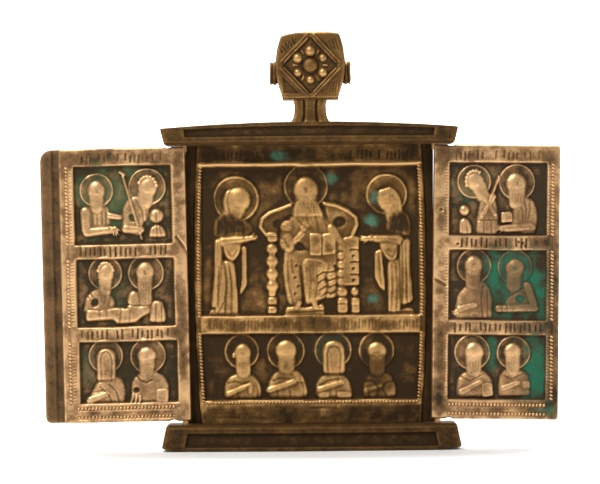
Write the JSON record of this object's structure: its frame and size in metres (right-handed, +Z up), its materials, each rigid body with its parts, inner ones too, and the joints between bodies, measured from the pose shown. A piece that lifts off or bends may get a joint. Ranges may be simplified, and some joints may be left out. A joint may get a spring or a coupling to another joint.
{
  "type": "triptych altarpiece",
  "caption": "Small cast brass folding icon: a relief centre leaf between moulded rails, a pierced suspension head, and relief wings on pins that close over it.",
  "frame": {"origin": "middle of the lower rail's underside, where the icon stands", "axes": "+X towards the viewer's right along the open wings, +Y from the relief side to the back, +Z up"},
  "size_m": [0.1201, 0.0127, 0.096],
  "materials": {
    "centre_leaf": "cast, dark patina, worn bright on the high points",
    "left_wing": "cast, worn frame, dark and green ground",
    "right_wing": "cast, worn frame, verdigris ground"
  },
  "bodies": {
    "centre": {"centre_leaf": "centre_leaf"},
    "left": {"left_wing": "left_wing"},
    "right": {"right_wing": "right_wing"}
  },
  "joints": [
    {"name": "left_wing_hinge", "type": "hinge", "parent": "centre", "child": "left", "pos_m": [-0.02895, -0.0008, 0.03845], "axis": [0, 0, 1], "range_deg": [-60, 179]},
    {"name": "right_wing_hinge", "type": "hinge", "parent": "centre", "child": "right", "pos_m": [0.02895, -0.0008, 0.03845], "axis": [0, 0, -1], "range_deg": [-60, 179]}
  ]
}
